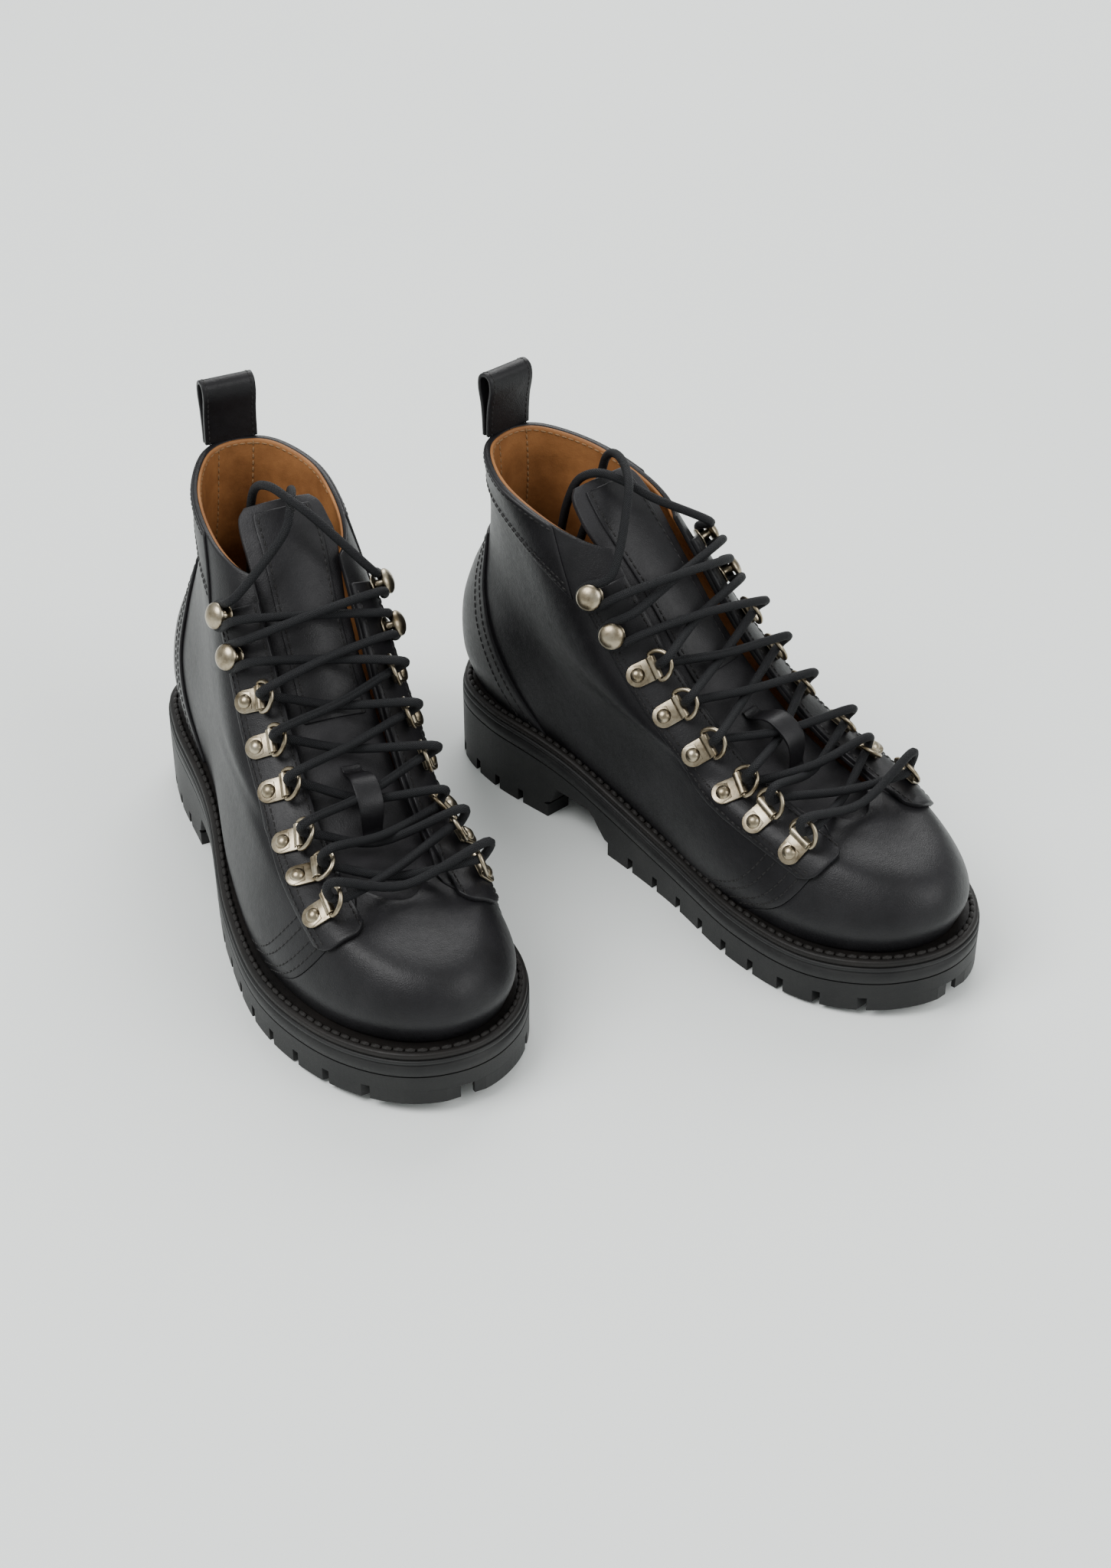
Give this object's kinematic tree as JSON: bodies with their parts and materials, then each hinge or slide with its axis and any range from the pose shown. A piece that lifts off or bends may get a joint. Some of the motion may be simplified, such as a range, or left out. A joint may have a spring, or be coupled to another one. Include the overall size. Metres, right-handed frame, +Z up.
{
  "type": "mountaineering boots",
  "caption": "Pair of ankle-high black leather lace-to-toe boots on stitched, lugged rubber soles, with hinged D-rings, lace hooks and rear pull loops.",
  "frame": {"origin": "on the floor, under the middle of the pair's bounding box", "axes": "+Z up, +X to the viewer's right, +Y away from the viewer, so the toes point towards -Y and +X"},
  "size_m": [0.3586, 0.2922, 0.2004],
  "materials": {
    "black_leather": "smooth black full-grain leather with a soft sheen",
    "tan_leather": "matt tan lining leather",
    "insole_leather": "matt",
    "welt_leather": "black, thickly stitched",
    "black_rubber": "matt moulded rubber",
    "black_cord": "braided waxed cord",
    "aged_nickel": "warm nickel plate worn towards brass"
  },
  "bodies": {
    "right_boot": {"right_outsole": "black_rubber", "right_midsole": "black_rubber", "right_welt": "welt_leather", "right_insole": "insole_leather", "right_vamp": "black_leather", "right_quarter_lateral": "black_leather", "right_quarter_medial": "black_leather", "right_heel_counter": "black_leather", "right_collar": "black_leather", "right_lining": "tan_leather", "right_tongue": "black_leather", "right_lace_keeper": "black_leather", "right_lace": "black_cord", "right_facing_lateral": "black_leather", "right_facing_medial": "black_leather", "right_clips_lateral": "aged_nickel", "right_clips_medial": "aged_nickel"},
    "left_boot": {"left_outsole": "black_rubber", "left_midsole": "black_rubber", "left_welt": "welt_leather", "left_insole": "insole_leather", "left_vamp": "black_leather", "left_quarter_lateral": "black_leather", "left_quarter_medial": "black_leather", "left_heel_counter": "black_leather", "left_collar": "black_leather", "left_lining": "tan_leather", "left_tongue": "black_leather", "left_lace_keeper": "black_leather", "left_lace": "black_cord", "left_facing_lateral": "black_leather", "left_facing_medial": "black_leather", "left_clips_lateral": "aged_nickel", "left_clips_medial": "aged_nickel"},
    "right_pull_loop": {"right_pull_tab": "black_leather"},
    "left_pull_loop": {"left_pull_tab": "black_leather"},
    "right_ring_lateral_1": {"right_d_ring_lateral_1": "aged_nickel"},
    "right_ring_lateral_2": {"right_d_ring_lateral_2": "aged_nickel"},
    "right_ring_lateral_3": {"right_d_ring_lateral_3": "aged_nickel"},
    "right_ring_lateral_4": {"right_d_ring_lateral_4": "aged_nickel"},
    "right_ring_lateral_5": {"right_d_ring_lateral_5": "aged_nickel"},
    "right_ring_lateral_6": {"right_d_ring_lateral_6": "aged_nickel"},
    "right_ring_medial_1": {"right_d_ring_medial_1": "aged_nickel"},
    "right_ring_medial_2": {"right_d_ring_medial_2": "aged_nickel"},
    "right_ring_medial_3": {"right_d_ring_medial_3": "aged_nickel"},
    "right_ring_medial_4": {"right_d_ring_medial_4": "aged_nickel"},
    "right_ring_medial_5": {"right_d_ring_medial_5": "aged_nickel"},
    "right_ring_medial_6": {"right_d_ring_medial_6": "aged_nickel"},
    "left_ring_lateral_1": {"left_d_ring_lateral_1": "aged_nickel"},
    "left_ring_lateral_2": {"left_d_ring_lateral_2": "aged_nickel"},
    "left_ring_lateral_3": {"left_d_ring_lateral_3": "aged_nickel"},
    "left_ring_lateral_4": {"left_d_ring_lateral_4": "aged_nickel"},
    "left_ring_lateral_5": {"left_d_ring_lateral_5": "aged_nickel"},
    "left_ring_lateral_6": {"left_d_ring_lateral_6": "aged_nickel"},
    "left_ring_medial_1": {"left_d_ring_medial_1": "aged_nickel"},
    "left_ring_medial_2": {"left_d_ring_medial_2": "aged_nickel"},
    "left_ring_medial_3": {"left_d_ring_medial_3": "aged_nickel"},
    "left_ring_medial_4": {"left_d_ring_medial_4": "aged_nickel"},
    "left_ring_medial_5": {"left_d_ring_medial_5": "aged_nickel"},
    "left_ring_medial_6": {"left_d_ring_medial_6": "aged_nickel"}
  },
  "joints": [
    {"name": "left_boot_lift", "type": "slide", "parent": "right_boot", "child": "left_boot", "axis": [0, 0, 1], "range_m": [0, 0.3]},
    {"name": "right_tab_hinge", "type": "hinge", "parent": "right_boot", "child": "right_pull_loop", "pos_m": [-0.14229, 0.10213, 0.1724], "axis": [-0.9003, -0.4352, 0], "range_deg": [-20, 35], "stiffness_Nm_per_rad": 0.05},
    {"name": "left_tab_hinge", "type": "hinge", "parent": "left_boot", "child": "left_pull_loop", "pos_m": [-0.02189, 0.11204, 0.1724], "axis": [-0.7349, -0.6782, 0], "range_deg": [-20, 35], "stiffness_Nm_per_rad": 0.05},
    {"name": "right_ring_lateral_1_hinge", "type": "hinge", "parent": "right_boot", "child": "right_ring_lateral_1", "pos_m": [-0.09032, -0.10169, 0.07205], "axis": [0.4157, -0.8632, -0.2864], "range_deg": [-4, 6], "deforming": ["right_lace"]},
    {"name": "right_ring_lateral_2_hinge", "type": "hinge", "parent": "right_boot", "child": "right_ring_lateral_2", "pos_m": [-0.0961, -0.08221, 0.07519], "axis": [0.246, -0.9377, -0.2455], "range_deg": [-4, 6]},
    {"name": "right_ring_lateral_3_hinge", "type": "hinge", "parent": "right_boot", "child": "right_ring_lateral_3", "pos_m": [-0.1037, -0.06868, 0.08089], "axis": [0.135, -0.8687, -0.4766], "range_deg": [-4, 6]},
    {"name": "right_ring_lateral_4_hinge", "type": "hinge", "parent": "right_boot", "child": "right_ring_lateral_4", "pos_m": [-0.11038, -0.04855, 0.09148], "axis": [0.1941, -0.7963, -0.573], "range_deg": [-4, 6]},
    {"name": "right_ring_lateral_5_hinge", "type": "hinge", "parent": "right_boot", "child": "right_ring_lateral_5", "pos_m": [-0.11639, -0.03354, 0.10288], "axis": [0.2106, -0.7517, -0.6249], "range_deg": [-4, 6]},
    {"name": "right_ring_lateral_6_hinge", "type": "hinge", "parent": "right_boot", "child": "right_ring_lateral_6", "pos_m": [-0.12174, -0.01978, 0.11524], "axis": [0.1487, -0.692, -0.7064], "range_deg": [-4, 6]},
    {"name": "right_ring_medial_1_hinge", "type": "hinge", "parent": "right_boot", "child": "right_ring_medial_1", "pos_m": [-0.03075, -0.07298, 0.07047], "axis": [-0.3688, 0.8898, 0.269], "range_deg": [-4, 6]},
    {"name": "right_ring_medial_2_hinge", "type": "hinge", "parent": "right_boot", "child": "right_ring_medial_2", "pos_m": [-0.03991, -0.05524, 0.07507], "axis": [-0.4383, 0.8566, 0.2722], "range_deg": [-4, 6]},
    {"name": "right_ring_medial_3_hinge", "type": "hinge", "parent": "right_boot", "child": "right_ring_medial_3", "pos_m": [-0.04814, -0.04106, 0.07828], "axis": [-0.6249, 0.6699, 0.4009], "range_deg": [-4, 6]},
    {"name": "right_ring_medial_4_hinge", "type": "hinge", "parent": "right_boot", "child": "right_ring_medial_4", "pos_m": [-0.05398, -0.02484, 0.08916], "axis": [-0.3486, 0.6922, 0.632], "range_deg": [-4, 6]},
    {"name": "right_ring_medial_5_hinge", "type": "hinge", "parent": "right_boot", "child": "right_ring_medial_5", "pos_m": [-0.06119, -0.00942, 0.10052], "axis": [-0.3586, 0.6826, 0.6367], "range_deg": [-4, 6]},
    {"name": "right_ring_medial_6_hinge", "type": "hinge", "parent": "right_boot", "child": "right_ring_medial_6", "pos_m": [-0.06746, 0.00453, 0.11301], "axis": [-0.3507, 0.6164, 0.705], "range_deg": [-4, 6]},
    {"name": "left_ring_lateral_1_hinge", "type": "hinge", "parent": "left_boot", "child": "left_ring_lateral_1", "pos_m": [0.1487, -0.01102, 0.07205], "axis": [-0.6508, 0.7032, 0.2864], "range_deg": [-4, 6], "deforming": ["left_lace"]},
    {"name": "left_ring_lateral_2_hinge", "type": "hinge", "parent": "left_boot", "child": "left_ring_lateral_2", "pos_m": [0.1327, 0.00149, 0.07519], "axis": [-0.7823, 0.5725, 0.2455], "range_deg": [-4, 6]},
    {"name": "left_ring_lateral_3_hinge", "type": "hinge", "parent": "left_boot", "child": "left_ring_lateral_3", "pos_m": [0.12289, 0.01353, 0.08089], "axis": [-0.7588, 0.444, 0.4765], "range_deg": [-4, 6]},
    {"name": "left_ring_lateral_4_hinge", "type": "hinge", "parent": "left_boot", "child": "left_ring_lateral_4", "pos_m": [0.10661, 0.02712, 0.09148], "axis": [-0.6697, 0.4724, 0.573], "range_deg": [-4, 6]},
    {"name": "left_ring_lateral_5_hinge", "type": "hinge", "parent": "left_boot", "child": "left_ring_lateral_5", "pos_m": [0.09484, 0.03822, 0.10288], "axis": [-0.6222, 0.4715, 0.6249], "range_deg": [-4, 6]},
    {"name": "left_ring_lateral_6_hinge", "type": "hinge", "parent": "left_boot", "child": "left_ring_lateral_6", "pos_m": [0.08401, 0.04824, 0.11524], "axis": [-0.5894, 0.392, 0.7064], "range_deg": [-4, 6]},
    {"name": "left_ring_medial_1_hinge", "type": "hinge", "parent": "left_boot", "child": "left_ring_medial_1", "pos_m": [0.10015, -0.05592, 0.07047], "axis": [0.6927, -0.6692, -0.269], "range_deg": [-4, 6]},
    {"name": "left_ring_medial_2_hinge", "type": "hinge", "parent": "left_boot", "child": "left_ring_medial_2", "pos_m": [0.08701, -0.0409, 0.07507], "axis": [0.6364, -0.7217, -0.2722], "range_deg": [-4, 6]},
    {"name": "left_ring_medial_3_hinge", "type": "hinge", "parent": "left_boot", "child": "left_ring_medial_3", "pos_m": [0.07683, -0.02804, 0.07828], "axis": [0.3942, -0.8269, -0.4009], "range_deg": [-4, 6]},
    {"name": "left_ring_medial_4_hinge", "type": "hinge", "parent": "left_boot", "child": "left_ring_medial_4", "pos_m": [0.06388, -0.01667, 0.08916], "axis": [0.5162, -0.578, -0.632], "range_deg": [-4, 6]},
    {"name": "left_ring_medial_5_hinge", "type": "hinge", "parent": "left_boot", "child": "left_ring_medial_5", "pos_m": [0.05217, -0.00431, 0.10052], "axis": [0.5037, -0.5838, -0.6367], "range_deg": [-4, 6]},
    {"name": "left_ring_medial_6_hinge", "type": "hinge", "parent": "left_boot", "child": "left_ring_medial_6", "pos_m": [0.04149, 0.00664, 0.11301], "axis": [0.445, -0.5522, -0.705], "range_deg": [-4, 6]}
  ]
}
